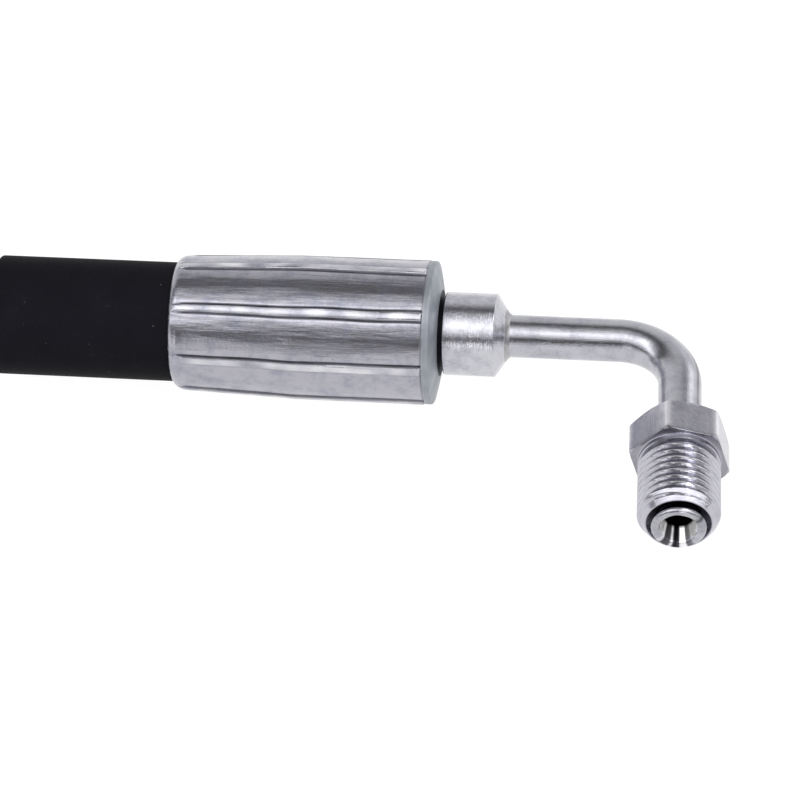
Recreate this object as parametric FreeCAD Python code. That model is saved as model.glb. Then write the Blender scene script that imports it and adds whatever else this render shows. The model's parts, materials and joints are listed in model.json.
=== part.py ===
"""Bent-tube end of a two-wire hydraulic hose: hose, crimped ferrule, stem, flared tube and tube nut.

Millimetres. The origin is the centre of the square-cut hose face. +X runs along the hose to the
fitting, the bent leg points to -Y, and +Z is up. The leg's axis lies in the plane z = 0.
"""
import FreeCAD
import Part
import math
import os

VEC = FreeCAD.Vector

# How far a cutting or trimming tool runs past the form it works on
margin = 1.0

# Hose: radii of the layers from the bore outwards
bore_radius = 4.75
inner_tube_radius = 6.35
inner_braid_radius = 6.95
friction_radius = 7.35
outer_braid_radius = 7.95
hose_radius = 8.95
hose_visible_length = 26.5

# The hose bends at two places, and its sections meet there on balls centred on the hose axis
bend_ball_radius = 10.0
bend_gap = 0.02
side_bend_seam = 18.5
rise_bend_seam = 6.35

# Ferrule, crimped by eight dies that leave a ridge between each pair
ferrule_length = 39.6
ferrule_radius = 10.7
ferrule_mouth_radius = 10.1
ferrule_taper_length = 18.8
ferrule_lip_radius = 1.9
ferrule_wall = 1.95
ferrule_mouth_clearance = 0.35
ferrule_mouth_length = 3.0
ferrule_flange_depth = 0.9
ferrule_shoulder_length = 0.4
ferrule_throat_radius = 6.8
dome_rise = 0.9
dome_hole_radius = 6.5
dome_hole_depth = 0.8
dome_corner = 0.25
ridge_count = 8
ridge_height = 0.25
ridge_width = 1.4
ridge_phase = 35.0
ridge_setback = 1.2
grip_count = 7
grip_height = 0.4
grip_pitch = 4.4
grip_setback = 1.2
grip_runout = 1.2

# Stem: barbed insert, two collars with the ferrule's locking groove between them, and a socket
collar_radius = 6.2
collar_length = 7.6
collar_edge = 0.15
collar_gap = 0.6
inner_collar_radius = 6.4
inner_collar_length = 2.2
groove_radius = 5.3
groove_clearance = 0.1
insert_radius = 4.85
insert_bore_radius = 3.3
insert_nose_setback = 2.6
insert_nose_radius = 3.8
insert_nose_length = 1.5
hose_stretch_length = 2.0
barb_count = 6
barb_height = 0.3
barb_length = 1.6
barb_pitch = 4.8
barb_setback = 3.0
passage_step_length = 1.2
stem_taper_length = 1.5
stem_taper_radius = 3.9
socket_depth = 7.0
braze_length = 0.7
braze_waist = 0.25
braze_waist_height = 0.3

# Tube
tube_radius = 3.175
tube_bore_radius = 2.15
bend_angle = 87.0
bend_radius = 9.525
stem_end_to_elbow = 27.3

# Flare at the end of the leg; distances along the leg start at the elbow, where the axes cross
lip_radius = 0.68
flare_radius = 3.95
lip_centre = 37.48
funnel_half_angle = 11.5
flare_back_angle = 45.0
lip_crown_angle = 28.0

# Tube nut, M12 x 1.25
nut_back = 18.9
hex_front = 24.8
nut_front = 36.9
hex_across_flats = 13.0
hex_phase = -14.0
hex_chamfer_angle = 30.0
hex_back_chamfer_radius = 6.3
hex_front_chamfer_radius = 7.0
thread_radius = 5.95
thread_root_radius = 5.2
thread_pitch = 1.25
thread_crest_width = 0.2
thread_root_width = 1.02
thread_foot_depth = 0.12
land_length = 0.85
relief_length = 0.6
relief_radius = 5.1
nose_chamfer_length = 1.6
nose_radius = 4.8
nut_clearance = 0.08
nut_entry_chamfer = 0.35
nut_seat_radius = 4.6

# Stations along the hose axis, worked out from the sizes above
ferrule_start = hose_visible_length
ferrule_corner = ferrule_start + ferrule_length
dome_end = ferrule_corner + dome_rise
collar_start = dome_end + collar_gap
collar_end = collar_start + collar_length
taper_end = collar_end + stem_taper_length
elbow = collar_end + stem_end_to_elbow
flange_inside = ferrule_corner - ferrule_flange_depth
inner_collar_start = flange_inside - inner_collar_length
hose_end = inner_collar_start
mouth_end = ferrule_start + ferrule_mouth_length
insert_nose = ferrule_start + insert_nose_setback
socket_start = taper_end - socket_depth
seam_offset = math.sqrt(bend_ball_radius ** 2 - hose_radius ** 2)
side_bend_pivot = side_bend_seam + seam_offset
rise_bend_pivot = rise_bend_seam + seam_offset

HOSE_AXIS = VEC(1, 0, 0)
LEG_AXIS = VEC(math.cos(math.radians(bend_angle)), -math.sin(math.radians(bend_angle)), 0)
ELBOW = VEC(elbow, 0, 0)
ORIGIN = VEC(0, 0, 0)
UP = VEC(0, 0, 1)


def polar(centre, radius, degrees):
    """A profile point at an angle on a circle, in (station, radius) coordinates."""
    angle = math.radians(degrees)
    return (centre[0] + radius * math.cos(angle), centre[1] + radius * math.sin(angle))


def place(point, start, axis):
    """A (station, radius) profile point as a point in space, above the axis that leaves start."""
    return start + axis * point[0] + UP * point[1]


def turned(profile, start=ORIGIN, axis=HOSE_AXIS):
    """A solid of revolution from a closed outline of points; a triple of points is an arc."""
    edges = []
    last = None
    for item in profile:
        is_arc = isinstance(item[0], tuple)
        points = [place(point, start, axis) for point in (item if is_arc else (item,))]
        if last is not None and (points[0] - last).Length > 1e-6:
            edges.append(Part.makeLine(last, points[0]))
        if is_arc:
            edges.append(Part.Arc(*points).toShape())
        last = points[-1]
    first = edges[0].Vertexes[0].Point
    edges.append(Part.makeLine(last, first))
    face = Part.Face(Part.Wire(edges))
    return face.revolve(start, axis, 360)


def ring(inner, outer, begin, end, start=ORIGIN, axis=HOSE_AXIS):
    """A plain sleeve between two stations."""
    return turned([(begin, inner), (begin, outer), (end, outer), (end, inner)], start, axis)


def rod(radius, begin, end, start=ORIGIN, axis=HOSE_AXIS):
    return Part.makeCylinder(radius, end - begin, start + axis * begin, axis)


def save(shape, name):
    shape = shape.removeSplitter()
    solids = shape.Solids
    if len(solids) == 1:
        shape = solids[0]
    shape.exportStep("parts/" + name + ".step")


def ball(pivot, radius):
    return Part.makeSphere(radius, VEC(pivot, 0, 0))


def past_bend(pivot, layer_end, gap):
    """Everything on the fitting's side of a bend, with the ball that fills the seam's hollow."""
    return ball(pivot, bend_ball_radius + gap).fuse(rod(hose_radius + margin, pivot, layer_end + gap))


def hose_sections(layer, layer_end):
    """Cuts one hose layer into its free, middle and end sections at the two bends."""
    return {
        "end": layer.common(past_bend(side_bend_pivot, layer_end, 0)),
        "middle": layer.common(past_bend(rise_bend_pivot, layer_end, 0)).cut(
            past_bend(side_bend_pivot, layer_end, bend_gap)),
        "free": layer.cut(past_bend(rise_bend_pivot, layer_end, bend_gap)),
    }


def ferrule_cavity():
    """The space inside the ferrule: a flared mouth, then gripping rings down to the flange."""
    inside = ferrule_radius - ferrule_wall
    mouth = hose_radius + ferrule_mouth_clearance
    profile = [
        (ferrule_start - margin, 0),
        (ferrule_start - margin, mouth),
        (ferrule_start, mouth),
        (mouth_end, inside),
    ]
    for index in range(grip_count):
        station = mouth_end + grip_setback + index * grip_pitch
        profile.append((station, inside))
        profile.append((station, inside - grip_height))
        profile.append((station + grip_height, inside - grip_height))
        profile.append((station + grip_runout, inside))
    profile.append((hose_end + ferrule_shoulder_length, inside))
    profile.append((flange_inside, ferrule_throat_radius))
    profile.append((flange_inside, 0))
    return turned(profile)


def squeezed_hose():
    """The hose's full size up to the ferrule, then its taper to the squeezed size inside."""
    inside = ferrule_radius - ferrule_wall
    return turned([
        (0, 0),
        (0, hose_radius),
        (ferrule_start, hose_radius),
        (mouth_end, inside),
        (mouth_end, inside + margin),
        (hose_end + margin, inside + margin),
        (hose_end + margin, 0),
    ])


def ferrule_outline(extra):
    """The ferrule's outer form, extra mm proud: a rounded mouth, a slight taper and a domed end."""
    lip = ferrule_lip_radius
    lip_middle = (ferrule_start + lip, ferrule_mouth_radius + extra - lip)
    return turned([
        (ferrule_start, 0),
        (polar(lip_middle, lip, 180), polar(lip_middle, lip, 135), polar(lip_middle, lip, 90)),
        (ferrule_start + ferrule_taper_length, ferrule_radius + extra),
        (ferrule_corner - dome_corner, ferrule_radius + extra),
        (ferrule_corner, ferrule_radius - dome_corner + extra),
        (dome_end, dome_hole_radius),
        (dome_end, 0),
    ])


def ferrule_ridges():
    """The ridges that the dies leave; each slab through the axis makes two opposite ones."""
    slabs = []
    for index in range(ridge_count // 2):
        length = ferrule_length - dome_corner - ridge_setback
        slab = Part.makeBox(length, ridge_width, 4 * ferrule_radius)
        slab.translate(VEC(ferrule_start + ridge_setback, -ridge_width / 2, -2 * ferrule_radius))
        slab.rotate(ORIGIN, HOSE_AXIS, ridge_phase + index * 360.0 / ridge_count)
        slabs.append(slab)
    return ferrule_outline(ridge_height).common(slabs[0].multiFuse(slabs[1:]))


def make_ferrule():
    hole_radius = groove_radius + groove_clearance
    hole = turned([
        (flange_inside - margin, 0),
        (flange_inside - margin, hole_radius),
        (dome_end - dome_hole_depth, hole_radius),
        (dome_end, dome_hole_radius),
        (dome_end + margin, dome_hole_radius),
        (dome_end + margin, 0),
    ])
    return ferrule_outline(0).fuse(ferrule_ridges()).cut(ferrule_cavity()).cut(hole)


def stem_outline():
    """The stem's outside, from the insert's nose to the taper at the tube."""
    profile = [
        (insert_nose, 0),
        (insert_nose, insert_nose_radius),
        (insert_nose + insert_nose_length, insert_radius),
    ]
    for index in range(barb_count):
        station = insert_nose + barb_setback + index * barb_pitch
        profile.append((station, insert_radius))
        profile.append((station + barb_length, insert_radius + barb_height))
        profile.append((station + barb_length, insert_radius))
    profile += [
        (inner_collar_start, insert_radius),
        (inner_collar_start, inner_collar_radius),
        (flange_inside, inner_collar_radius),
        (flange_inside, groove_radius),
        (collar_start, groove_radius),
        (collar_start, collar_radius - collar_edge),
        (collar_start + collar_edge, collar_radius),
        (collar_end - collar_edge, collar_radius),
        (collar_end, collar_radius - collar_edge),
        (taper_end, stem_taper_radius),
        (taper_end, 0),
    ]
    return turned(profile)


def stem_passage():
    """The oil passage: wide in the insert, the tube's bore in the collar, then the tube's socket."""
    return turned([
        (insert_nose - margin, 0),
        (insert_nose - margin, insert_bore_radius),
        (flange_inside, insert_bore_radius),
        (flange_inside + passage_step_length, tube_bore_radius),
        (socket_start, tube_bore_radius),
        (socket_start, tube_radius),
        (taper_end + margin, tube_radius),
        (taper_end + margin, 0),
    ])


def make_braze_ring():
    """The fillet of braze between the stem's taper and the tube."""
    fillet = (
        (taper_end, stem_taper_radius),
        (taper_end + braze_waist, tube_radius + braze_waist_height),
        (taper_end + braze_length, tube_radius),
    )
    return turned([(taper_end, tube_radius), (taper_end, stem_taper_radius), fillet])


def tube_path():
    """The tube's centre line: straight in the stem, the bend, then straight down the leg."""
    setback = bend_radius * math.tan(math.radians(bend_angle / 2))
    bend_start = VEC(elbow - setback, 0, 0)
    bend_centre = bend_start - VEC(0, bend_radius, 0)
    half = math.radians(90 - bend_angle / 2)
    bend_middle = bend_centre + VEC(math.cos(half), math.sin(half), 0) * bend_radius
    bend_end = ELBOW + LEG_AXIS * setback
    leg_end = ELBOW + LEG_AXIS * flare_start()
    return Part.Wire([
        Part.makeLine(VEC(socket_start, 0, 0), bend_start),
        Part.Arc(bend_start, bend_middle, bend_end).toShape(),
        Part.makeLine(bend_end, leg_end),
    ])


def lip_point():
    return (lip_centre, flare_radius - lip_radius)


def flare_start():
    """Where the flare's back leaves the tube."""
    tangent = polar(lip_point(), lip_radius, 90 + flare_back_angle)
    return tangent[0] - (tangent[1] - tube_radius) / math.tan(math.radians(flare_back_angle))


def flare_solid():
    """The flared end as a filled turned form."""
    back = polar(lip_point(), lip_radius, 90 + flare_back_angle)
    crown = polar(lip_point(), lip_radius, lip_crown_angle)
    front = polar(lip_point(), lip_radius, funnel_half_angle - 90)
    begin = flare_start()
    profile = [(begin, 0), (begin, tube_radius), (back, crown, front), (front[0], 0)]
    return turned(profile, ELBOW, LEG_AXIS)


def funnel():
    """The opening inside the flare, down to the tube's bore."""
    front = polar(lip_point(), lip_radius, funnel_half_angle - 90)
    slope = math.tan(math.radians(funnel_half_angle))
    throat = front[0] - (front[1] - tube_bore_radius) / slope
    return turned([
        (throat, 0),
        (throat, tube_bore_radius),
        (front[0] + margin, front[1] + margin * slope),
        (front[0] + margin, 0),
    ], ELBOW, LEG_AXIS)


def swept(radius, path):
    start = path.Edges[0].Vertexes[0].Point
    circle = Part.Wire(Part.makeCircle(radius, start, HOSE_AXIS))
    return path.makePipeShell([circle], True, True)


def make_bent_tube():
    path = tube_path()
    outside = swept(tube_radius, path).fuse(flare_solid())
    bore_end = rod(tube_bore_radius, flare_start() - margin, lip_centre, ELBOW, LEG_AXIS)
    return outside.cut(swept(tube_bore_radius, path)).cut(bore_end).cut(funnel())


def hexagon_prism():
    """The wrench flats, chamfered at both ends."""
    corner = hex_across_flats / math.sqrt(3)
    side = UP.cross(LEG_AXIS)
    centre = ELBOW + LEG_AXIS * nut_back
    points = []
    for index in range(7):
        angle = math.radians(hex_phase + 60 * index)
        points.append(centre + (UP * math.cos(angle) + side * math.sin(angle)) * corner)
    prism = Part.Face(Part.makePolygon(points)).extrude(LEG_AXIS * (hex_front - nut_back))
    outside = corner + margin
    slope = math.tan(math.radians(hex_chamfer_angle))
    barrel = turned([
        (nut_back, 0),
        (nut_back, hex_back_chamfer_radius),
        (nut_back + (outside - hex_back_chamfer_radius) * slope, outside),
        (hex_front - (outside - hex_front_chamfer_radius) * slope, outside),
        (hex_front, hex_front_chamfer_radius),
        (hex_front, 0),
    ], ELBOW, LEG_AXIS)
    return prism.common(barrel)


def thread_ridge():
    """One helical ridge from the relief groove to the nose."""
    begin = hex_front + land_length + relief_length - thread_pitch
    height = nut_front - begin
    helix = Part.makeHelix(thread_pitch, height, thread_root_radius)
    flank = (thread_root_width - thread_crest_width) / 2 / (thread_radius - thread_root_radius)
    foot_radius = thread_root_radius - thread_foot_depth
    half_crest = thread_crest_width / 2
    half_foot = half_crest + flank * (thread_radius - foot_radius)
    corners = [
        VEC(foot_radius, 0, -half_foot),
        VEC(thread_radius, 0, -half_crest),
        VEC(thread_radius, 0, half_crest),
        VEC(foot_radius, 0, half_foot),
    ]
    profile = Part.makePolygon(corners + corners[:1])
    ridge = Part.Wire(helix).makePipeShell([profile], True, True)
    ridge.Placement = FreeCAD.Placement(ELBOW + LEG_AXIS * begin, FreeCAD.Rotation(UP, LEG_AXIS))
    return ridge


def thread_envelope():
    """Trims the ridge: square at the relief groove, and along the nose's chamfer."""
    thread_start = hex_front + land_length + relief_length
    chamfer_slope = nose_chamfer_length / (thread_radius - nose_radius)
    return turned([
        (thread_start, thread_root_radius - margin),
        (thread_start, thread_radius + margin),
        (nut_front - nose_chamfer_length - margin * chamfer_slope, thread_radius + margin),
        (nut_front, nose_radius),
        (nut_front, thread_root_radius - margin),
    ], ELBOW, LEG_AXIS)


def nut_core():
    """The turned form under the thread, with the plain land and its relief groove by the hexagon."""
    land_end = hex_front + land_length
    groove_end = land_end + relief_length
    chamfer_slope = (thread_radius - nose_radius) / nose_chamfer_length
    meet = nut_front - (thread_root_radius - nose_radius) / chamfer_slope
    return turned([
        (hex_front - margin, 0),
        (hex_front - margin, thread_radius),
        (land_end, thread_radius),
        (land_end, relief_radius),
        (groove_end, relief_radius),
        (groove_end, thread_root_radius),
        (meet, thread_root_radius),
        (nut_front, nose_radius),
        (nut_front, 0),
    ], ELBOW, LEG_AXIS)


def nut_bore():
    """The hole for the tube, opening into a conical seat for the back of the flare."""
    radius = tube_radius + nut_clearance
    slope = math.tan(math.radians(flare_back_angle))
    return turned([
        (nut_back - margin, 0),
        (nut_back - margin, radius + nut_entry_chamfer + margin),
        (nut_back + nut_entry_chamfer, radius),
        (nut_front - (nut_seat_radius - radius) / slope, radius),
        (nut_front + margin, nut_seat_radius + margin * slope),
        (nut_front + margin, 0),
    ], ELBOW, LEG_AXIS)


def make_tube_nut():
    thread = thread_ridge().common(thread_envelope())
    return hexagon_prism().fuse(nut_core()).fuse(thread).cut(nut_bore())


def stem_space():
    """What the stem takes up in the hose, with the lead-in where the bore widens before its nose."""
    lead_in = turned([
        (insert_nose - hose_stretch_length, 0),
        (insert_nose - hose_stretch_length, bore_radius),
        (insert_nose, insert_radius),
        (insert_nose + insert_nose_length, insert_radius),
        (insert_nose + insert_nose_length, 0),
    ])
    return stem_outline().fuse(lead_in)


def hose_layers():
    """Each layer's name, and its shape before it is cut into sections."""
    outside_form = squeezed_hose().common(ferrule_cavity().fuse(rod(hose_radius, 0, ferrule_start)))
    return {
        "inner_tube": ring(bore_radius, inner_tube_radius, 0, hose_end).cut(stem_space()),
        "inner_braid": ring(inner_tube_radius, inner_braid_radius, 0, hose_end),
        "friction_layer": ring(inner_braid_radius, friction_radius, 0, hose_end),
        "outer_braid": ring(friction_radius, outer_braid_radius, 0, hose_end),
        "hose_cover": ring(outer_braid_radius, hose_radius, 0, hose_end).common(outside_form),
    }


os.makedirs("parts", exist_ok=True)
for layer_name, layer_shape in hose_layers().items():
    for section_name, section in hose_sections(layer_shape, hose_end).items():
        save(section, layer_name + "_" + section_name)
save(make_ferrule(), "ferrule")
save(stem_outline().cut(stem_passage()), "stem")
save(make_braze_ring(), "braze_ring")
save(make_bent_tube(), "bent_tube")
save(make_tube_nut(), "tube_nut")
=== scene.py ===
"""Looks of a hydraulic hose end with a bent tube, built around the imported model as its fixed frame.

Lengths in this script are millimetres; each mesh is scaled to metres when it is made. Most pieces
are closed surfaces over a grid of points, whose rows follow a profile and whose columns go round
an axis.
"""
import json
import math

import bpy
import numpy as np
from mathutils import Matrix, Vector, noise


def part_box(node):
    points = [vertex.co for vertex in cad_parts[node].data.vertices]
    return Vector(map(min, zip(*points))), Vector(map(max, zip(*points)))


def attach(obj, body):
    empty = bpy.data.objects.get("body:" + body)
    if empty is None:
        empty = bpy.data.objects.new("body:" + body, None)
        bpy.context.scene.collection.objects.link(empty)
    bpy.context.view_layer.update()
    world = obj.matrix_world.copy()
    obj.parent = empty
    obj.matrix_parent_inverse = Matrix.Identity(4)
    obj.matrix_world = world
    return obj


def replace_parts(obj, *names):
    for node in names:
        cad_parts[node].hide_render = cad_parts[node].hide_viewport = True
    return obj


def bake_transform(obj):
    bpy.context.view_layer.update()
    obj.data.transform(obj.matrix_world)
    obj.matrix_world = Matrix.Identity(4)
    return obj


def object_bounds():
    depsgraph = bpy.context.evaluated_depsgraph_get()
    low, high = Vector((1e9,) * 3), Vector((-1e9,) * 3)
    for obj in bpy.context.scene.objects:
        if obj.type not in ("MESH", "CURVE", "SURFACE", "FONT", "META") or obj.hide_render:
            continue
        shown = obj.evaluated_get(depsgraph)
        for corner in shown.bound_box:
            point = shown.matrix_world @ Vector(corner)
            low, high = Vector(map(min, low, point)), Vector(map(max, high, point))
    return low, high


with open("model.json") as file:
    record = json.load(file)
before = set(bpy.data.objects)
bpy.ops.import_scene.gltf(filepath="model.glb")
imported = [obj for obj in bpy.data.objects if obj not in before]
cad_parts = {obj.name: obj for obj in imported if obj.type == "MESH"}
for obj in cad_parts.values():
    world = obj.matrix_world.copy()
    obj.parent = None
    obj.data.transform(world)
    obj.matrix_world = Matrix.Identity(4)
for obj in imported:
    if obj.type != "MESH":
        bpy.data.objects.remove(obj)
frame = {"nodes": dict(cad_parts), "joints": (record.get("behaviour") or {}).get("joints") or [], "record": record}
cad_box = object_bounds()

METRE = 1000.0
UP = np.array((0.0, 0.0, 1.0))


# ---------------------------------------------------------------- places and sizes from the frame

def in_mm(vector):
    return np.array(vector, float) * METRE


def node_points(node):
    """The vertices of a CAD node."""
    return in_mm([vertex.co for vertex in frame["nodes"][node].data.vertices])


def span(node):
    """Where a CAD node starts and ends along the hose axis."""
    low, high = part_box(node)
    return low.x * METRE, high.x * METRE


class Axis:
    """A straight line with angles measured round it from +Z."""

    def __init__(self, start, along):
        self.start = np.array(start, float)
        self.along = np.array(along, float)
        self.side = np.cross(UP, self.along)

    def place(self, station, radius, angle):
        station, radius, angle = (a[..., None] for a in np.broadcast_arrays(station, radius, angle))
        spoke = UP * np.cos(angle) + self.side * np.sin(angle)
        return self.start + self.along * station + spoke * radius

    def stations(self, points):
        return (points - self.start) @ self.along


mounts = {mount["name"]: mount for mount in frame["record"]["mounts"]}
joints = {joint["name"]: joint for joint in frame["joints"]}

hose_radius = mounts["hose_outside"]["dims"]["r_mm"]
bore_radius = mounts["hose_bore"]["dims"]["r_mm"]
thread_radius = mounts["port_thread_land"]["dims"]["r_mm"]

# Outside radii of the hose's inner layers, and of the hose where the ferrule squeezes it.
inner_tube_radius = 6.35
inner_braid_radius = 6.95
friction_radius = 7.35
outer_braid_radius = 7.95
squeezed_radius = 8.75

ferrule_start, ferrule_end = span("ferrule")
hose_end = span("hose_cover_end")[1]
stem_start, stem_end = span("stem")
braze_end = span("braze_ring")[1]
side_pivot = joints["hose_bend_sideways"]["pos_m"][0] * METRE
rise_pivot = joints["hose_bend_upwards"]["pos_m"][0] * METRE

leg_along = np.array(joints["nut_spin"]["axis"])
leg_point = in_mm(joints["nut_spin"]["pos_m"])
elbow = leg_point - leg_along * (leg_point[1] / leg_along[1])

HOSE = Axis((0, 0, 0), (1, 0, 0))
LEG = Axis(elbow, leg_along)

nut_stations = LEG.stations(node_points("tube_nut"))
nut_back, nut_front = nut_stations.min(), nut_stations.max()
flare_tip = LEG.stations(node_points("bent_tube")).max()


# ---------------------------------------------------------------- meshes

def finish_mesh(mesh, sharp_degrees):
    """Smooth shading, apart from edges sharper than the given angle."""
    mesh.shade_smooth()
    mesh.set_sharp_from_angle(angle=math.radians(sharp_degrees))


def add_object(name, mesh):
    piece = bpy.data.objects.new(name, mesh)
    bpy.context.scene.collection.objects.link(piece)
    return piece


def volume_sign(points, quads):
    a, b, c, d = (points[quads[:, corner]] for corner in range(4))
    return np.sum(np.cross(b, c) * a) + np.sum(np.cross(c, d) * a)


def closed_piece(name, points, local, marks=None, sharp_degrees=30):
    """A piece over a grid of points that joins up along both rows and columns.

    local holds the points' (station, across, across) coordinates for the materials, and marks is a
    number per point for painted shade, painted highlights and reflections, and scuffed corners.
    """
    rows, columns = points.shape[:2]
    index = np.arange(rows * columns).reshape(rows, columns)
    below = np.roll(index, -1, axis=0)
    corners = [index, below, np.roll(below, -1, axis=1), np.roll(index, -1, axis=1)]
    quads = np.stack(corners, axis=-1).reshape(-1, 4)
    flat = points.reshape(-1, 3)
    if volume_sign(flat, quads) < 0:
        quads = quads[:, ::-1]
    mesh = bpy.data.meshes.new(name)
    mesh.from_pydata((flat / METRE).tolist(), [], quads.tolist())
    store(mesh, "local", "FLOAT_VECTOR", "vector", local)
    store(mesh, "marks", "FLOAT", "value", np.zeros(rows * columns) if marks is None else marks)
    finish_mesh(mesh, sharp_degrees)
    return add_object(name, mesh)


def store(mesh, name, kind, field, values):
    attribute = mesh.attributes.new(name, kind, "POINT")
    attribute.data.foreach_set(field, np.asarray(values, np.float32).ravel())


def straight_coordinates(station, radius, angle):
    """Coordinates for the materials: the station, and the place across the axis."""
    station, radius, angle = np.broadcast_arrays(station, radius, angle)
    return np.stack([station, radius * np.cos(angle), radius * np.sin(angle)], axis=-1)


def angles(count):
    return np.arange(count) * (2 * math.pi / count)


def rounded(corners, steps=4):
    """A closed outline through (station, radius, edge radius) corners, with its edges rounded."""
    outline = []
    for index, (station, radius, edge) in enumerate(corners):
        here = np.array((station, radius))
        back = np.array(corners[index - 1][:2]) - here
        ahead = np.array(corners[(index + 1) % len(corners)][:2]) - here
        back_length, ahead_length = np.linalg.norm(back), np.linalg.norm(ahead)
        back, ahead = back / back_length, ahead / ahead_length
        half = math.acos(np.clip(back @ ahead, -1, 1)) / 2
        setback = min(edge / math.tan(half), 0.48 * back_length, 0.48 * ahead_length)
        if edge == 0 or half > math.radians(89):
            outline.append(here)
            continue
        middle = (back + ahead) / np.linalg.norm(back + ahead)
        centre = here + middle * (setback / math.cos(half))
        first = here + back * setback - centre
        last = here + ahead * setback - centre
        for share in np.linspace(0, 1, steps + 1):
            spoke = first * (1 - share) + last * share
            outline.append(centre + spoke * (np.linalg.norm(first) / np.linalg.norm(spoke)))
    return np.array(outline)


def filled(outline, longest):
    """The same closed outline with points added so that no step is longer than longest."""
    result = []
    for here, following in zip(outline, np.roll(outline, -1, axis=0)):
        count = max(1, math.ceil(np.linalg.norm(following - here) / longest))
        result += [here + (following - here) * share for share in np.arange(count) / count]
    return np.array(result)


def turned_piece(name, axis, outline, columns=160, rough=0.0, rough_size=3.0, painted_shade=None):
    """A turned piece; rough is how far it strays from the true form, painted_shade the painted shade of each row.
    """
    station, radius = outline[:, :1], outline[:, 1:]
    angle = angles(columns)[None, :]
    if rough:
        radius = radius + rough * wander(straight_coordinates(station, radius, angle), rough_size)
    local = straight_coordinates(station, radius, angle)
    marks = None if painted_shade is None else np.repeat(painted_shade, columns)
    return closed_piece(name, axis.place(station, radius, angle), local, marks)


def wander(coordinates, size, seed=0.0):
    """Smooth noise from -1 to 1 over a grid of coordinates, with lumps of about the given size."""
    flat = coordinates.reshape(-1, 3) / size + seed
    values = [noise.noise(Vector(point)) for point in flat]
    return np.array(values).reshape(coordinates.shape[:-1])


def arc(centre, radius, first, last, count):
    """Points (station, radius) on a circle in a profile, angles in degrees."""
    turn = np.radians(np.linspace(first, last, count))
    return np.stack([centre[0] + radius * np.cos(turn), centre[1] + radius * np.sin(turn)], axis=-1)


# ---------------------------------------------------------------- materials

class Graph:
    """Short calls for building a material's nodes."""

    def __init__(self, tree):
        self.tree = tree
        tree.nodes.clear()

    def add(self, kind, inputs=(), **settings):
        node = self.tree.nodes.new(kind)
        for key, value in settings.items():
            setattr(node, key, value)
        for key, value in dict(inputs).items():
            self.feed(node.inputs[key], value)
        return node

    def feed(self, socket, value):
        if isinstance(value, bpy.types.NodeSocket):
            self.tree.links.new(value, socket)
        else:
            socket.default_value = value

    def calc(self, operation, *values):
        node = self.add("ShaderNodeMath", operation=operation)
        for socket, value in zip(node.inputs, values):
            self.feed(socket, value)
        return node.outputs[0]

    def vector(self, operation, *values):
        node = self.add("ShaderNodeVectorMath", operation=operation)
        for socket, value in zip(node.inputs, values):
            self.feed(socket, value)
        return node.outputs["Value" if operation in ("DOT_PRODUCT", "LENGTH") else "Vector"]

    def attribute(self, name, output):
        return self.add("ShaderNodeAttribute", attribute_name=name).outputs[output]

    def noise(self, vector, scale, detail=2.0, roughness=0.55):
        inputs = {"Vector": vector, "Scale": scale, "Detail": detail, "Roughness": roughness}
        return self.add("ShaderNodeTexNoise", inputs).outputs["Fac"]

    def stretched(self, vector, factors):
        return self.vector("MULTIPLY", vector, factors)

    def remap(self, value, low, high, to_low=0.0, to_high=1.0):
        """A smooth step from low to high."""
        inputs = {0: value, 1: low, 2: high, 3: to_low, 4: to_high}
        return self.add("ShaderNodeMapRange", inputs, interpolation_type="SMOOTHSTEP").outputs[0]

    def mix(self, share, first, second):
        node = self.add("ShaderNodeMix", data_type="RGBA")
        for socket, value in ((0, share), (6, first), (7, second)):
            self.feed(node.inputs[socket], value)
        return node.outputs[2]

    def bump(self, height, distance, normal=None, strength=1.0):
        inputs = {"Height": height, "Distance": distance, "Strength": strength}
        if normal is not None:
            inputs["Normal"] = normal
        return self.add("ShaderNodeBump", inputs).outputs["Normal"]


def new_material(name):
    material = bpy.data.materials.new(name)
    material.use_nodes = True
    graph = Graph(material.node_tree)
    return material, graph


def close_material(graph, **inputs):
    """Ends a material with its surface shader."""
    names = {
        "colour": "Base Color", "metal": "Metallic", "roughness": "Roughness", "normal": "Normal",
        "specular": "Specular IOR Level", "glint": "Emission Strength",
    }
    shader = graph.add("ShaderNodeBsdfPrincipled",
                       {names[key]: value for key, value in inputs.items()})
    output = graph.add("ShaderNodeOutputMaterial")
    graph.tree.links.new(shader.outputs[0], output.inputs["Surface"])


def rgb(red, green, blue):
    return (red, green, blue, 1.0)


def cover_rubber():
    """Matt black rubber with a fine grain, dust specks, scuffs and painted shade towards its silhouette."""
    material, graph = new_material("cover_rubber")
    local = graph.attribute("local", "Vector")
    blotches = graph.noise(local, 0.22, 4.0)
    grain = graph.noise(local, 6.0, 3.0)
    long_marks = graph.noise(graph.stretched(local, (0.3, 1.0, 1.0)), 1.4, 5.0, 0.7)
    scuffs = graph.remap(long_marks, 0.62, 0.75)
    specks = graph.remap(graph.noise(local, 1.7, 0.0), 0.86, 0.90)
    facing = graph.add("ShaderNodeLayerWeight", {"Blend": 0.35}).outputs["Facing"]
    colour = graph.mix(blotches, rgb(0.0062, 0.0060, 0.0086), rgb(0.0104, 0.0099, 0.0138))
    # Painted shade: the rubber darkens where its surface turns away from the view, towards the silhouette.
    colour = graph.mix(graph.calc("MULTIPLY", facing, 0.8), colour, rgb(0.0035, 0.0034, 0.0042))
    colour = graph.mix(graph.calc("MULTIPLY", scuffs, 0.30), colour, rgb(0.030, 0.029, 0.034))
    colour = graph.mix(graph.calc("MULTIPLY", specks, 0.5), colour, rgb(0.10, 0.10, 0.105))
    roughness = graph.remap(grain, 0.3, 0.7, 0.52, 0.68)
    normal = graph.bump(graph.calc("ADD", grain, graph.calc("MULTIPLY", blotches, 2.0)), 0.00003)
    close_material(graph, colour=colour, roughness=roughness, normal=normal, specular=0.03)
    return material


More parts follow.
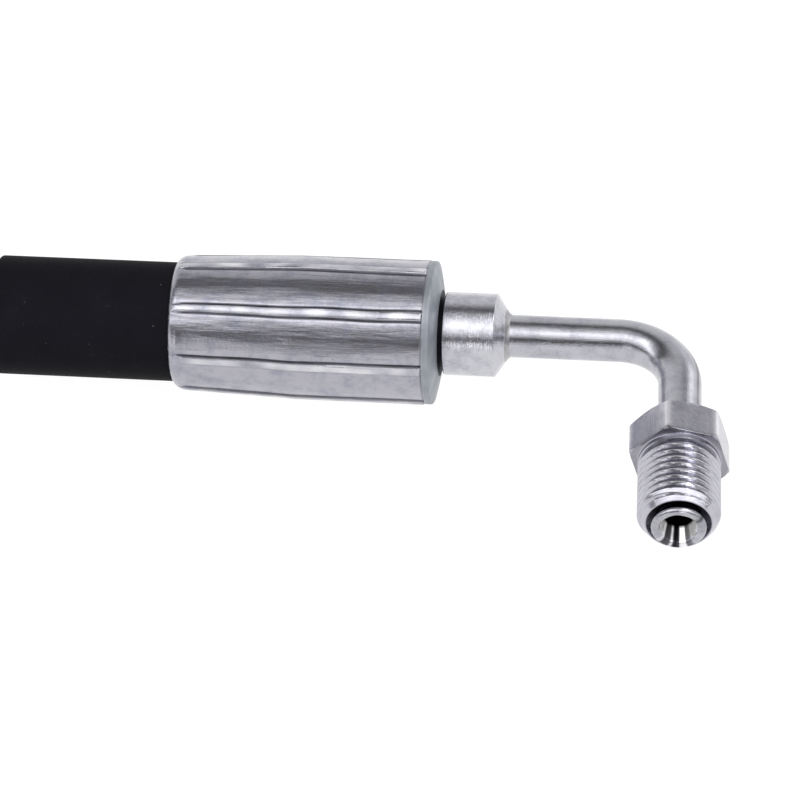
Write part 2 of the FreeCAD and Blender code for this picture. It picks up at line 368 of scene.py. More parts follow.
def cut_rubber(name, shade):
    """Black rubber of the inside layers, with the marks of the saw on its cut face."""
    material, graph = new_material(name)
    local = graph.attribute("local", "Vector")
    grain = graph.noise(local, 3.5, 4.0, 0.65)
    saw = graph.noise(graph.stretched(local, (1.0, 0.25, 2.6)), 4.0, 3.0)
    dark = rgb(shade * 0.6, shade * 0.6, shade * 0.62)
    pale = rgb(shade * 1.5, shade * 1.45, shade * 1.5)
    colour = graph.mix(grain, dark, pale)
    normal = graph.bump(graph.calc("ADD", saw, grain), 0.00006)
    close_material(graph, colour=colour, roughness=0.55, normal=normal, specular=0.25)
    return material


def braid_wire():
    """Brass-coated steel wire, with the coating worn through in blotches."""
    material, graph = new_material("braid_wire")
    local = graph.attribute("local", "Vector")
    blotches = graph.noise(local, 2.2, 3.0)
    brass, steel = rgb(0.34, 0.27, 0.14), rgb(0.58, 0.55, 0.50)
    colour = graph.mix(graph.remap(blotches, 0.35, 0.65), brass, steel)
    roughness = graph.remap(blotches, 0.3, 0.7, 0.28, 0.5)
    normal = graph.bump(graph.noise(local, 14.0, 2.0), 0.00002)
    close_material(graph, colour=colour, metal=1.0, roughness=roughness, normal=normal)
    return material


ALONG_MARKS = (0.04, 1.0, 1.0)
ROUND_MARKS = (1.0, 0.02, 0.02)
LUMP_STRETCH = (0.16, 1.0, 1.0)
SPOT_GREY = rgb(0.10, 0.10, 0.115)
PAINTED_SHADE_BLACK = rgb(0.012, 0.012, 0.016)
HIGHLIGHT_AND_WEAR_BRIGHT = rgb(0.86, 0.86, 0.88)
SHADED_DULL_GREY = rgb(0.215, 0.245, 0.27)
HIGHLIGHT_AND_WEAR_METAL = 0.35


def zinc(name, tone, soil_and_painted_light, base_roughness, fine=None, lumps=0.0, spots=0.0, soiling=0.0):
    """Zinc plate. tone and soil_and_painted_light are its clean and soiled colours.

    fine is (stretch, scale, depth) of the fine tool marks, lumps the depth of soft dents, spots the
    share of scuffed speckle, and soiling the share of soiled patches. A point's marks above zero are
    painted shade and painted dark reflections, turning the plate towards black, and below zero they
    are painted highlights and reflections, with the scuffed corners of the nut, turning it towards a
    less metallic white. dull_and_shaded makes the plate rougher and less metallic and paints it a
    darker flat grey as shade, and glint is painted light, a glow that the point gives off.
    """
    material, graph = new_material(name)
    local = graph.attribute("local", "Vector")
    marks = graph.attribute("marks", "Fac")
    patches = graph.noise(local, 0.35, 5.0, 0.6)
    speckle = graph.noise(local, 1.9, 4.0, 0.7)
    mottle = graph.calc("ADD", patches, graph.calc("MULTIPLY", speckle, 0.35))
    cloud = graph.remap(mottle, 0.55, 0.95)
    colour = graph.mix(graph.calc("MULTIPLY", cloud, soiling), tone, soil_and_painted_light)
    scuffed = graph.remap(speckle, 0.56, 0.72)
    pits = graph.noise(graph.stretched(local, (0.8, 1.0, 1.0)), 3.2, 3.0, 0.6)
    dark_spots = graph.remap(pits, 0.64, 0.76)
    # Marks above zero are painted shade and painted dark reflections; below zero, painted highlights and
    # reflections, with the scuffed corners of the nut.
    painted_shade = graph.calc("MAXIMUM", marks, 0.0)
    highlight_and_wear = graph.calc("MULTIPLY", marks, -1.0)
    colour = graph.mix(graph.calc("MULTIPLY", dark_spots, spots), colour, SPOT_GREY)
    # Painted shade turns the plate towards black, painted highlights towards white.
    colour = graph.mix(marks, colour, PAINTED_SHADE_BLACK)
    colour = graph.mix(highlight_and_wear, colour, HIGHLIGHT_AND_WEAR_BRIGHT)
    roughness = graph.remap(patches, 0.3, 0.75, base_roughness * 0.8, base_roughness * 1.3)
    roughness = graph.calc("ADD", roughness, graph.calc("MULTIPLY", scuffed, 0.14 * spots))
    roughness = graph.calc("ADD", roughness, graph.calc("MULTIPLY", painted_shade, 0.35))
    normal = None
    if lumps:
        dents = graph.noise(graph.stretched(local, LUMP_STRETCH), 0.5, 2.5, 0.45)
        normal = graph.bump(dents, lumps)
    normal = graph.bump(speckle, 0.000012 + 0.00003 * spots, normal)
    if fine:
        stretch, scale, depth = fine
        tooling = graph.noise(graph.stretched(local, stretch), scale, 3.0, 0.6)
        normal = graph.bump(tooling, depth, normal)
    # The end face is made rougher and less metallic, and painted a darker flat grey as shade.
    dull_and_shaded = graph.attribute("dull_and_shaded", "Fac")
    colour = graph.mix(dull_and_shaded, colour, SHADED_DULL_GREY)
    roughness = graph.calc("ADD", roughness, graph.calc("MULTIPLY", dull_and_shaded, 0.3))
    # Painted highlights lose their metal too, so they stay white in any light.
    metal = graph.remap(graph.calc("ADD", dull_and_shaded, highlight_and_wear), 0.0, 1.0, 1.0, HIGHLIGHT_AND_WEAR_METAL)
    # glint is painted light: the point glows.
    glint = graph.attribute("glint", "Fac")
    close_material(graph, colour=colour, metal=metal, roughness=roughness, normal=normal,
                   glint=glint)
    return material


materials = {
    "cover_rubber": cover_rubber(),
    "liner_rubber": cut_rubber("liner_rubber", 0.016),
    "friction_rubber": cut_rubber("friction_rubber", 0.024),
    "braid_wire": braid_wire(),
    "ferrule_zinc": zinc("ferrule_zinc", rgb(0.42, 0.415, 0.46), rgb(0.27, 0.28, 0.34), 0.20,
                         (ALONG_MARKS, 6.0, 0.000015), 0.00016, 0.3, 0.85),
    "collar_zinc": zinc("collar_zinc", rgb(0.55, 0.55, 0.59), rgb(0.36, 0.36, 0.41), 0.15,
                        (ROUND_MARKS, 7.0, 0.000035), 0.0, 0.6, 0.9),
    "braze": zinc("braze", rgb(0.42, 0.42, 0.43), rgb(0.24, 0.24, 0.25), 0.33,
                  None, 0.0003, 0.8, 0.9),
    "tube_zinc": zinc("tube_zinc", rgb(0.48, 0.48, 0.52), rgb(0.33, 0.33, 0.38), 0.10,
                      (ALONG_MARKS, 9.0, 0.000015), 0.00005, 0.25, 0.8),
    "nut_zinc": zinc("nut_zinc", rgb(0.50, 0.495, 0.55), rgb(0.33, 0.325, 0.38), 0.10,
                     (ROUND_MARKS, 8.0, 0.00002), 0.00006, 0.4, 0.6),
}


def dress(piece, material):
    piece.data.materials.append(materials[material])
    return piece


# ---------------------------------------------------------------- hose

bend_reach_side = ferrule_start - side_pivot
extra_reach_rise = 3.5
bend_reach_rise = bend_reach_side + extra_reach_rise
hose_seam = (rise_pivot + bend_reach_rise + side_pivot - bend_reach_side) / 2
mouth_length = 3.0
hose_grid_step = 0.7
wire_lean = math.radians(54.7)
bundle_count = 12
wires_per_bundle = 6
wire_sides = 8
wire_end_depth = 0.5


def front_bends(piece):
    """Bakes the placement of the hose's front length into its mesh."""
    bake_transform(piece)


def back_bends(piece):
    """Bakes the placement of the length next to the ferrule, which ends up held by the ferrule, into its mesh."""
    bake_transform(piece)


def hose_layer(layer, inner, outer, face, material, edge=0.08):
    """One layer of the hose, in a front and a back length that meet between the two bends.

    face is how far the layer's cut end sits behind the cover's.
    """
    front = filled(rounded([
        (face, inner, edge), (face, outer, edge), (hose_seam, outer, 0), (hose_seam, inner, 0),
    ]), hose_grid_step)
    back_outer = min(outer, squeezed_radius)
    back = filled(np.array([
        (hose_seam, inner), (hose_seam, outer), (ferrule_start, outer),
        (ferrule_start + mouth_length, back_outer), (hose_end, back_outer), (hose_end, inner),
    ]), hose_grid_step)
    for part, outline, bends in (("front", front, front_bends), ("back", back, back_bends)):
        piece = turned_piece(layer + "_" + part, HOSE, outline)
        dress(piece, material)
        if part == "front":
            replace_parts(piece, layer + "_free", layer + "_middle")
        else:
            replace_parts(piece, layer + "_end")
        bends(piece)


def wire_ends(name, inner, outer, face):
    """The cut ends of a braid's wires: bundles that cross over and under each other."""
    wire_radius = (outer - inner) / 4
    vertices, faces = [], []
    for direction in (1, -1):
        for bundle in range(bundle_count):
            for wire in range(wires_per_bundle):
                share = (wire + 0.5) / wires_per_bundle
                turn = 2 * math.pi * (bundle + (0.04 + 0.92 * share)) / bundle_count
                above = 0.5 + 0.5 * direction * math.sin(math.pi * (2 * bundle + share))
                radius = inner + wire_radius * (1 + 2 * above)
                proud = 0.10 + 0.09 * noise.noise(Vector((turn * 9, direction * 3.1, inner)))
                add_wire(vertices, faces, turn, radius, face - proud, wire_radius,
                         direction * wire_lean)
    mesh = bpy.data.meshes.new(name)
    mesh.from_pydata((np.array(vertices) / METRE).tolist(), [], faces)
    store(mesh, "local", "FLOAT_VECTOR", "vector", vertices)
    store(mesh, "marks", "FLOAT", "value", np.zeros(len(vertices)))
    finish_mesh(mesh, 30)
    return add_object(name, mesh)


def add_wire(vertices, faces, turn, radius, face, wire_radius, lean):
    """One short wire end, leaning round the hose, with a flat cut face in the plane of the cut."""
    sides = wire_sides
    first = len(vertices)
    spoke = np.array((0.0, math.sin(turn), math.cos(turn)))
    round_hose = np.array((0.0, math.cos(turn), -math.sin(turn)))
    slant = math.tan(lean)
    for station, size in ((0.0, 0.72), (0.05, 0.94), (wire_end_depth, 0.94)):
        for side in range(sides):
            angle = 2 * math.pi * side / sides
            across = round_hose * math.cos(angle) * wire_radius * size / math.cos(lean)
            out = spoke * math.sin(angle) * wire_radius * size
            shift = round_hose * slant * station * 0.35
            vertices.append(spoke * radius + across + out + shift + np.array((face + station, 0, 0)))
    for ring in range(2):
        for side in range(sides):
            a = first + ring * sides + side
            b = first + ring * sides + (side + 1) % sides
            faces.append((a, b, b + sides, a + sides))
    faces.append(tuple(first + side for side in reversed(range(sides))))
    faces.append(tuple(first + 2 * sides + side for side in range(sides)))


def make_hose():
    """The hose's five layers, and the ends of the two braids' wires in its cut face."""
    hose_layer("hose_cover", outer_braid_radius, hose_radius, 0.0,
               "cover_rubber", 0.22)
    hose_layer("outer_braid", friction_radius, outer_braid_radius, 0.25,
               "braid_wire")
    hose_layer("friction_layer", inner_braid_radius, friction_radius, 0.06,
               "friction_rubber")
    hose_layer("inner_braid", inner_tube_radius, inner_braid_radius, 0.25,
               "braid_wire")
    hose_layer("inner_tube", bore_radius, inner_tube_radius, 0.03,
               "liner_rubber", 0.15)
    for name, inner, outer in (("outer_braid_wires", friction_radius, outer_braid_radius),
                               ("inner_braid_wires", inner_tube_radius, inner_braid_radius)):
        wires = wire_ends(name, inner, outer, 0.05)
        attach(dress(wires, "braid_wire"), "hose_free")


# ---------------------------------------------------------------- ferrule

ferrule_radius = 10.7
mouth_radius = 10.1
lip_radius = 1.9
mouth_opening = hose_radius + 0.35
mouth_depth = 0.9
gripped_radius = squeezed_radius + 0.02
taper_length = 18.8
dome_rise = 0.9
dome_shoulder = (0.45, 8.7, 2.5)
pad_end_setback = 1.1
pad_fade_in = 1.6
pad_fade_out = 0.2
pad_depth = 0.09
dome_hole_radius = 6.5
flange_hole_radius = 5.4
flange_back_radius = 6.8
flange_depth = 0.9
ridge_count = 8
ridge_phase = -35.0
ridge_height = 0.25
ridge_half_width = 0.7
ridge_groove = 0.16
ridge_sway = 0.22
# How strong the groove on the lower side of each ridge is.
lower_groove = np.array((0.75, 0.85, 0.6, 0.6, 0.6, 0.6, 0.5, 0.15))


def ferrule_profile():
    """Rows of the ferrule's grid: its outline, how strongly the dies mark each row, and its painted shade."""
    corner = ferrule_end - dome_rise
    lip = arc((ferrule_start + lip_radius, mouth_radius - lip_radius), lip_radius, 142, 90, 12)
    pad_end = corner - pad_end_setback
    along = np.concatenate([
        np.linspace(ferrule_start + lip_radius, pad_end - 0.3, 92)[1:],
        pad_end + np.array((-0.15, -0.05, 0.03, 0.1, 0.2, 0.35)),
    ])
    taper = [along[0], ferrule_start + taper_length]
    grown = np.interp(along, taper, [mouth_radius, ferrule_radius])
    barrel = np.stack([along, grown], axis=-1)
    shoulder_rise, shoulder_radius, shoulder_edge = dome_shoulder
    dome = rounded([
        (corner - 0.5, ferrule_radius, 0), (corner, ferrule_radius, 0.35),
        (corner + shoulder_rise, shoulder_radius, shoulder_edge),
        (ferrule_end, dome_hole_radius, 0.2), (ferrule_end - 0.8, flange_hole_radius, 0.1),
        (corner - flange_depth, flange_hole_radius, 0),
        (corner - flange_depth, flange_back_radius, 0),
        (hose_end + 0.4, gripped_radius, 0), (ferrule_start + mouth_length, gripped_radius, 0),
        (ferrule_start + mouth_depth, mouth_opening, 0.3),
    ])
    outline = np.concatenate([lip, barrel, dome])
    marked = np.zeros(len(outline))
    start, end = ferrule_start + mouth_depth, pad_end + 0.1
    outside = np.arange(len(outline)) < len(lip) + len(barrel)
    station = outline[outside, 0]
    marked[outside] = np.clip((station - start) / pad_fade_in, 0, 1)
    marked[outside] *= np.clip((end - station) / pad_fade_out, 0, 1)
    # Painted shade: a dark ring where the pads end, and black inside the holes of the dome and the flange.
    painted_shade = np.zeros(len(outline))
    painted_shade[outside] = 0.75 * np.clip(1 - np.abs(station - pad_end) / 0.2, 0, 1)
    painted_shade[outline[:, 1] < dome_hole_radius - 0.05] = 1.0
    return outline, marked, painted_shade


def ridge_columns():
    """The grid's columns, as a ridge number and a distance from that ridge, close together on it."""
    near = ridge_half_width * np.array((0, 0.45, 0.75, 0.9, 1.0, 1.08, 1.18, 1.32, 1.55, 2.0))
    pitch = 2 * math.pi * ferrule_radius / ridge_count
    far = np.linspace(near[-1], pitch / 2, 6)[1:]
    half = np.concatenate([near, far])
    across = np.concatenate([-half[:0:-1], half[:-1]])
    ridges = np.repeat(np.arange(ridge_count), len(across))
    return ridges, np.tile(across, ridge_count)


def ridge_form(across):
    """Height of the ridge, and of the thin groove the dies leave beside it, as shares."""
    distance = np.abs(across) / ridge_half_width
    steps = [0, 0.45, 0.75, 0.92, 1.06, 1.18, 1.35, 1.6]
    rise = np.interp(distance, steps, [1.0, 0.97, 0.85, 0.5, 0.0, 0.0, 0.0, 0.0])
    groove = np.interp(distance, steps, [0, 0, 0, 0.2, 0.85, 1.0, 0.25, 0.0])
    return rise, groove


def make_ferrule():
    """The crimped shell: eight pressed pads with a slightly wavy ridge between each pair."""
    outline, marked, painted_shade = ferrule_profile()
    ridges, across = ridge_columns()
    rise, groove = ridge_form(across)
    station = np.repeat(outline[:, :1], len(across), axis=1)
    base = np.repeat(outline[:, 1:], len(across), axis=1)
    middle = np.radians(ridge_phase + ridges * 360.0 / ridge_count)[None, :]
    waver = np.array([[noise.noise(Vector((row / 9.0, ridge * 7.3, 1.7)))
                       for ridge in range(ridge_count + 1)] for row in outline[:, 0]])
    waver[:, ridge_count] = waver[:, 0]
    half_pitch = math.pi * ferrule_radius / ridge_count
    position = ridges + across / (2 * half_pitch)
    looped = np.concatenate([waver[:, ridge_count - 1:ridge_count], waver], axis=1)
    sway = np.array([np.interp(position, np.arange(-1, ridge_count + 1), row) for row in looped])
    widen = 0.92 + 0.16 * (station - ferrule_start) / (ferrule_end - ferrule_start)
    near_ridge = np.clip(2.2 - np.abs(across) / ridge_half_width, 0, 1)[None, :]
    stretch = 1 + (widen - 1) * near_ridge
    angle = middle + (across[None, :] * stretch
                      + ridge_sway * marked[:, None] * sway) / ferrule_radius
    coordinates = straight_coordinates(station, base, angle)
    share = marked[:, None]
    lower_side = np.where(across < 0, lower_groove[ridges], 1.0)
    patchy = 0.35 * wander(coordinates * (0.35, 1, 1), 3.0, 21.0)
    groove = groove * np.clip(lower_side + patchy, 0, 1)
    unevenness = (wander(coordinates * (0.4, 1, 1), 5.0, 3.0) * 0.035
                  + wander(coordinates * (0.5, 1, 1), 1.7, 8.0) * 0.006)
    pressed = ridge_height * rise - pad_depth * (1 - rise) - ridge_groove * groove
    radius = base + share * (pressed + unevenness)
    # Painted shade in the thin grooves beside the ridges.
    soil_and_painted_light = share * groove * (0.85 + 0.3 * wander(coordinates, 2.2, 5.0))
    # Painted highlight on the ridge tops, in patches.
    ridge_highlight = np.clip(0.25 + 0.7 * wander(coordinates, 3.0, 9.0), 0, 1)
    soil_and_painted_light = soil_and_painted_light - share * np.clip(rise * 2 - 1, 0, 1) * ridge_highlight
    # Painted shade where the pads end and inside the holes.
    soil_and_painted_light = soil_and_painted_light + painted_shade[:, None] * (0.8 + 0.3 * wander(coordinates, 2.5, 12.0))
    local = straight_coordinates(station, radius, angle)
    piece = closed_piece("ferrule_shell", HOSE.place(station, radius, angle), local, soil_and_painted_light, 40)
    # The end face and the ring before it: rougher and less metallic, and painted a darker flat grey as shade.
    end_face = np.clip((station[:, :1] - ferrule_end + dome_rise + pad_end_setback) / 0.3, 0, 1)
    dull_and_shaded = end_face * (0.72 + 0.3 * wander(coordinates, 2.0, 15.0))
    store(piece.data, "dull_and_shaded", "FLOAT", "value", dull_and_shaded)
    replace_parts(dress(piece, "ferrule_zinc"), "ferrule")
    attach(piece, "fitting")


# ---------------------------------------------------------------- stem and braze

collar_radius = 6.2
collar_length = 7.6
collar_gap = 0.6
groove_radius = 5.3
inner_collar_radius = 6.4
inner_collar_length = 2.2
insert_bore_radius = 3.3
nose_radius = 3.8
nose_length = 1.5
tube_radius = 3.175
tube_bore_radius = 2.15
taper_radius = 3.9
socket_depth = 7.0
bore_step_length = 1.2
braze_overlap = 0.25
# The fillet's height over the tube at shares of its length.
braze_heights = ((0.2, 0.58), (0.45, 0.30), (0.75, 0.12), (1.0, 0.03))


def make_stem():
    """The barbed insert's plain form, the locking groove, and the turned collar with its taper."""
    flange_inside = ferrule_end - dome_rise - flange_depth
    inner_collar_start = flange_inside - inner_collar_length
    collar_start = ferrule_end + collar_gap
    collar_end = collar_start + collar_length
    insert_radius = bore_radius - 0.03
    outline = rounded([
        (stem_start, insert_bore_radius, 0.15), (stem_start, nose_radius, 0.2),
        (stem_start + nose_length, insert_radius, 0.3),
        (inner_collar_start, insert_radius, 0), (inner_collar_start, inner_collar_radius, 0.1),
        (flange_inside, inner_collar_radius, 0.1), (flange_inside, groove_radius, 0),
        (collar_start, groove_radius, 0), (collar_start, collar_radius, 0.18),
        (collar_end, collar_radius, 0.16),
        (stem_end, taper_radius, 0.0), (stem_end, tube_radius, 0),
        (stem_end - socket_depth, tube_radius, 0), (stem_end - socket_depth, tube_bore_radius, 0),
        (flange_inside + bore_step_length, tube_bore_radius, 0),
        (flange_inside, insert_bore_radius, 0),
    ])
    outline = filled(outline, 1.5)
    # Painted shade: the gap between the ferrule and the collar, down to the groove, is painted black.
    in_gap = (outline[:, 0] > flange_inside - 0.01) & (outline[:, 0] < collar_start + 0.02)
    painted_shade = np.where(in_gap & (outline[:, 1] < collar_radius - 0.2), 1.0, 0.0)
    piece = turned_piece("stem_body", HOSE, outline, 192, painted_shade=painted_shade)
    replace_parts(dress(piece, "collar_zinc"), "stem")
    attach(piece, "fitting")


def make_braze():
    """The uneven fillet of braze round the tube."""
    length = braze_end - stem_end
    fillet = [(stem_end + share * length, tube_radius + height) for share, height in braze_heights]
    outline = np.array([
        (stem_end - braze_overlap, tube_radius), (stem_end - braze_overlap, taper_radius + 0.05),
        (stem_end, taper_radius + 0.02), *fillet, (stem_end + length, tube_radius),
    ])
    piece = turned_piece("braze_fillet", HOSE, filled(outline, 0.25), 128, 0.05, 1.1)
    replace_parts(dress(piece, "braze"), "braze_ring")
    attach(piece, "fitting")


# ---------------------------------------------------------------- bent tube

bend_radius = 9.525
flare_lip_radius = 0.68
flare_radius = 3.95
funnel_half_angle = 11.5
flare_back_angle = 45.0
dark_reflection_angle = 56.0
dark_reflection_half_width = 9.0
bend_angle = math.acos(leg_along[0])
setback = bend_radius * math.tan(bend_angle / 2)
bend_start = elbow[0] - setback
bend_length = bend_radius * bend_angle
leg_offset = bend_start + bend_length - setback


def tube_frame(length):
    """The tube's centre and its sideways direction at distances measured along its centre line."""
    turned = np.clip((length - bend_start) / bend_radius, 0, bend_angle)
    along = np.stack([np.cos(turned), -np.sin(turned), np.zeros_like(turned)], axis=-1)
    side = np.stack([np.sin(turned), np.cos(turned), np.zeros_like(turned)], axis=-1)
    centre = np.array((bend_start, -bend_radius, 0.0)) + side * bend_radius
    past_bend = np.maximum(length - bend_start - bend_length, 0)
    rest = np.where(length < bend_start, length - bend_start, past_bend)
    return centre + along * rest[..., None], side


def flare_outline():
    """The flare's section, as stations along the leg and radii: its back, rolled lip and funnel."""
    lip = (flare_tip - flare_lip_radius, flare_radius - flare_lip_radius)
    rolled = arc(lip, flare_lip_radius, 90 + flare_back_angle, funnel_half_angle - 90, 18)
    back_slope = math.tan(math.radians(flare_back_angle))
    funnel_slope = math.tan(math.radians(funnel_half_angle))
    back_start = rolled[0, 0] - (rolled[0, 1] - tube_radius) / back_slope
    throat = rolled[-1, 0] - (rolled[-1, 1] - tube_bore_radius) / funnel_slope
    blend_in = [(back_start - 0.3, tube_radius), (back_start + 0.12, tube_radius + 0.06)]
    funnel = [(rolled[-1, 0] * (1 - s) + throat * s, rolled[-1, 1] * (1 - s) + tube_bore_radius * s)
              for s in np.linspace(0.08, 1, 14)]
    return np.array(blend_in), rolled, np.array(funnel)


# Painted reflections on the flare: degrees from its lowest point, and a tone from -1 (bright) to 1 (dark).
painted_streaks_round = (
    (-180, 0.1), (-90, 0.2), (-62, 0.1), (-57, -0.3), (-51, -0.2), (-48, 0.85), (-27, 0.85),
    (-24, -0.6), (-20, -0.6), (-18, 0.95), (1, 0.95), (4, -1), (20, -1), (23, 0.7), (37, 0.6),
    (41, 0), (60, 0), (90, 0.2), (180, 0.1),
)
# Depth into the mouth past which it is painted black, as painted shade.
black_depth = 2.4


def flare_marks(outline, tip, angle):
    """Painted reflections as bright and dark bands that fan over the lip and into the mouth, which
    is painted black inside as shade.

    The second result is painted light: the glow that the bands inside the mouth give off.
    """
    order = np.arange(len(outline))
    first = np.argmax(outline[:, 0])
    depth = np.where(order >= first, tip - outline[:, 0], 0.0)[:, None]
    from_bottom = 180 - np.degrees(angle)
    painted_streaks = np.interp(from_bottom, *zip(*painted_streaks_round))
    flecks = [noise.noise(Vector((math.cos(a) * 9, math.sin(a) * 9, 4.0))) for a in angle]
    painted_streaks = (painted_streaks + 0.1 * np.array(flecks))[None, :]
    front = np.clip((outline[:, :1] - tip + 1.1) / 0.3, 0, 1)
    share = np.where(order[:, None] >= first, 1.0, front)
    # Painted shade: deep in the mouth the tube is black.
    black = np.clip((depth - black_depth) / 0.5, 0, 1)
    # Painted light: the bands inside the mouth glow, the bright ones most.
    lit = np.interp(painted_streaks, (-1, -0.6, 0, 0.6, 0.9), (0.95, 0.6, 0.34, 0.1, 0.0))
    glow = lit * (1 - black) * np.clip((depth - 0.15) / 0.5, 0, 1) * (order >= first)[:, None]
    return painted_streaks * share * (1 - black) + black, glow


def make_tube():
    """The tube from its socket in the stem, round the bend and down the leg to the flare.

    Its wall is slightly oval in the bend, where a painted dark reflection runs along it.
    """
    blend_in, rolled, funnel = flare_outline()
    for part in (blend_in, rolled, funnel):
        part[:, 0] += leg_offset
    begin = stem_end - socket_depth
    bend_end = bend_start + bend_length
    outside = np.concatenate([
        np.linspace(begin, bend_start, 26), np.linspace(bend_start, bend_end, 48)[1:],
        np.linspace(bend_end, blend_in[0, 0], 20)[1:-1],
    ])
    behind_funnel = np.linspace(funnel[-1, 0] - 0.15, outside[-1] + 0.15, 12)
    inside = np.concatenate([behind_funnel, outside[::-1]])
    outline = np.concatenate([
        np.stack([outside, np.full_like(outside, tube_radius)], axis=-1), blend_in, rolled, funnel,
        np.stack([inside, np.full_like(inside, tube_bore_radius)], axis=-1),
    ])
    length, radius = outline[:, :1], outline[:, 1:]
    angle = angles(112)[None, :]
    in_bend = np.clip((length - bend_start) / bend_length, 0, 1)
    oval = np.sin(math.pi * in_bend) ** 2
    radius = radius * (1 + oval * (0.010 * np.cos(2 * angle) - 0.008))
    wall = straight_coordinates(length, radius, angle)
    radius = radius + 0.006 * wander(wall, 4.0) * (radius > 3)
    centre, side = tube_frame(length[:, 0])
    spoke = UP * np.cos(angle)[..., None] + side[:, None, :] * np.sin(angle)[..., None]
    points = centre[:, None, :] + spoke * radius[..., None]
    marks, glow = flare_marks(outline, flare_tip + leg_offset, angle[0])
    # Painted reflection: a dark band along the outer side of the bend.
    dark_reflection = np.clip(1 - np.abs(np.degrees(angle) - dark_reflection_angle) / dark_reflection_half_width, 0, 1)
    dark_reflection = dark_reflection * np.clip(in_bend * 2 - 0.6, 0, 1)
    marks = marks + 0.85 * dark_reflection * (radius > 2.8) * (0.8 + 0.4 * wander(wall, 2.0, 4.0))
    piece = closed_piece("tube", points, straight_coordinates(length, radius, angle), marks, 40)
    # Painted light: the glow of the bands in the mouth.
    store(piece.data, "glint", "FLOAT", "value", glow)
    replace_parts(dress(piece, "tube_zinc"), "bent_tube")
    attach(piece, "fitting")


# ---------------------------------------------------------------- tube nut

hex_length = 5.9
across_flats = 13.0
hex_phase = -14.0
hex_edge_radius = 0.35
hex_back_chamfer_radius = 6.3
hex_front_chamfer_radius = 7.0
hex_chamfer_slope = math.tan(math.radians(30))
land_length = 0.85
relief_length = 0.6
relief_radius = 5.1
thread_root_radius = 5.2
thread_pitch = 1.25
nose_chamfer_length = 1.6
nut_nose_radius = 4.8
nut_clearance = 0.08
nut_seat_radius = 4.6
nut_entry_chamfer = 0.35
rows_per_turn = 20
# The thread's depth, as a share, at shares of the way from a crest to a root.
crest_to_root = ((0, 0.14, 0.20, 0.80, 0.88, 1), (0, 0.02, 0.07, 0.93, 0.99, 1))


def hexagon_radius(angle):
    """Distance from the axis to the hexagon's flats, with lightly worn corners."""
    sixth = math.radians(60)
    off_corner = (angle - math.radians(hex_phase) + sixth / 2) % sixth - sixth / 2
    flat = across_flats / 2 / np.cos(sixth / 2 - np.abs(off_corner))
    centre = (across_flats / 2 - hex_edge_radius) / math.cos(sixth / 2)
    tangent = math.atan2(hex_edge_radius * 0.5, centre + hex_edge_radius * math.cos(sixth / 2))
    inside = np.maximum(hex_edge_radius ** 2 - (centre * np.sin(off_corner)) ** 2, 0)
    worn_and_highlit = centre * np.cos(off_corner) + np.sqrt(inside)
    return np.where(np.abs(off_corner) < tangent, worn_and_highlit, flat)


def nut_columns():
    """Angles of the nut's columns, close together at the hexagon's corners."""
    corner = np.radians([0.0, 0.35, 0.8, 1.4, 2.2])
    side = np.linspace(corner[-1], math.radians(30), 13)[1:]
    half = np.concatenate([corner, side])
    sector = np.concatenate([-half[:0:-1], half[:-1]])
    return np.concatenate([sector + math.radians(hex_phase + 60 * index) for index in range(6)])


def thread_form(station, angle, start):
    """Radius of the thread's helix: rounded crests and roots with 60 degree flanks."""
    phase = ((station - start) / thread_pitch - angle / (2 * math.pi)) % 1.0
    distance = np.abs(phase - 0.5) * 2
    depth = thread_radius - thread_root_radius
    return thread_radius - depth * np.interp(distance, *crest_to_root)


